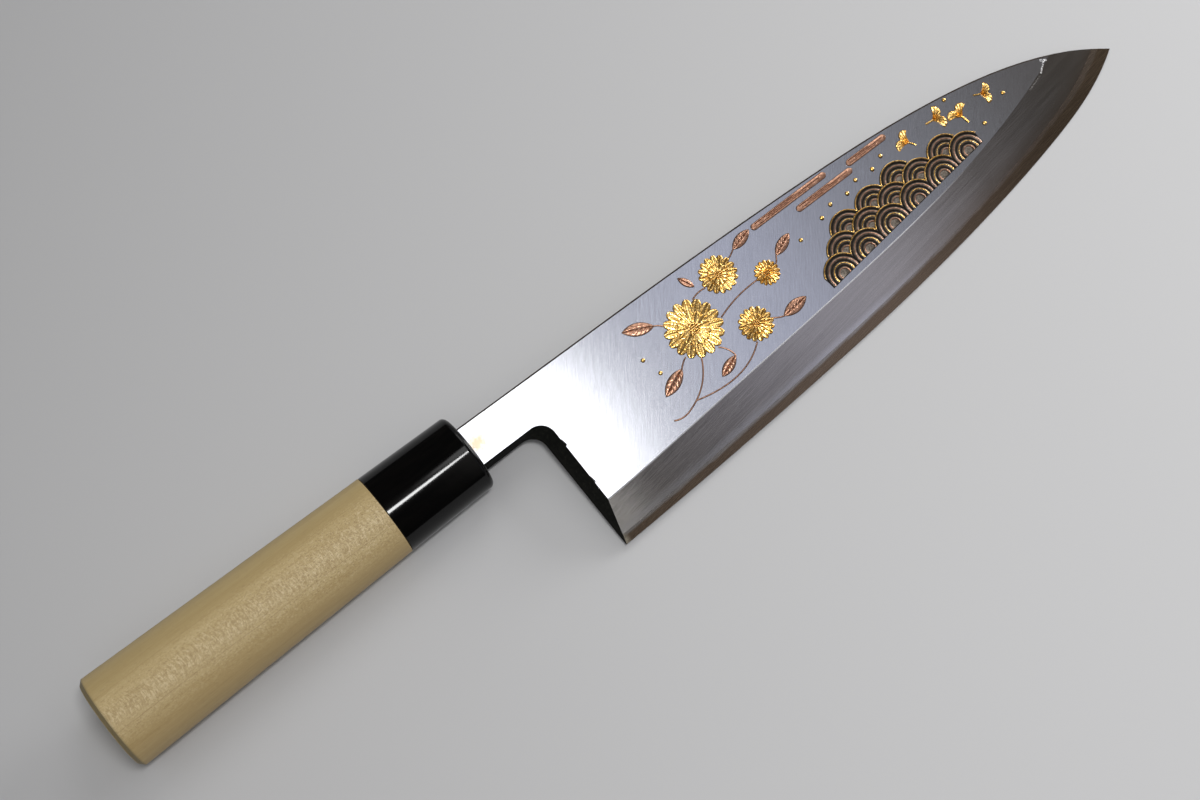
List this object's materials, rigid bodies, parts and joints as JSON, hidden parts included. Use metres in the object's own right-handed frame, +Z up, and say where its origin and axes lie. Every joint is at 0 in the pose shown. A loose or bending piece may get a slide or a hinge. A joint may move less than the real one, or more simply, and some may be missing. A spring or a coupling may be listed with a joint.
{
  "type": "deba knife",
  "caption": "Japanese deba knife: thick single-bevel blade of soft iron on a hard steel back, inlaid face, oval wooden handle with a black horn ferrule.",
  "frame": {"origin": "centre of the lying knife's footprint, on the table it lies on", "axes": "+X from butt to tip, +Y from edge to spine, +Z up from the table, with the bevelled face up"},
  "size_m": [0.3948, 0.069, 0.0282],
  "materials": {
    "soft_iron": "ground and brushed, forge scale on the choil",
    "hard_steel": "fine ground",
    "magnolia_wood": "bare, sanded smooth",
    "black_horn": "polished",
    "setting_resin": "matt, brown",
    "gold": "chased, bright",
    "copper": "chased, satin",
    "dark_alloy": "patinated, chased"
  },
  "bodies": {
    "root": {"blade_cladding": "soft_iron", "chrysanthemum_1": "gold", "chrysanthemum_2": "gold", "chrysanthemum_3": "gold", "chrysanthemum_4": "gold", "edge_steel": "hard_steel", "ferrule": "black_horn", "ginkgo_leaf_1": "gold", "ginkgo_leaf_2": "gold", "ginkgo_leaf_3": "gold", "ginkgo_leaf_4": "gold", "handle": "magnolia_wood", "long_leaf_1": "copper", "long_leaf_2": "copper", "long_leaf_3": "copper", "long_leaf_4": "copper", "long_leaf_5": "copper", "long_leaf_6": "copper", "long_leaf_7": "copper", "mist_band_1": "copper", "mist_band_2": "copper", "mist_band_3": "copper", "spray_drops": "gold", "tang_resin": "setting_resin", "wave_row_1_scale_1": "dark_alloy", "wave_row_1_scale_2": "dark_alloy", "wave_row_1_scale_3": "dark_alloy", "wave_row_1_scale_4": "dark_alloy", "wave_row_1_scale_5": "dark_alloy", "wave_row_1_scale_6": "dark_alloy", "wave_row_2_scale_1": "dark_alloy", "wave_row_2_scale_2": "dark_alloy", "wave_row_2_scale_3": "dark_alloy", "wave_row_2_scale_4": "dark_alloy", "wave_row_2_scale_5": "dark_alloy", "wave_row_3_scale_1": "dark_alloy", "wave_row_3_scale_2": "dark_alloy", "wave_row_3_scale_3": "dark_alloy"}
  },
  "joints": []
}
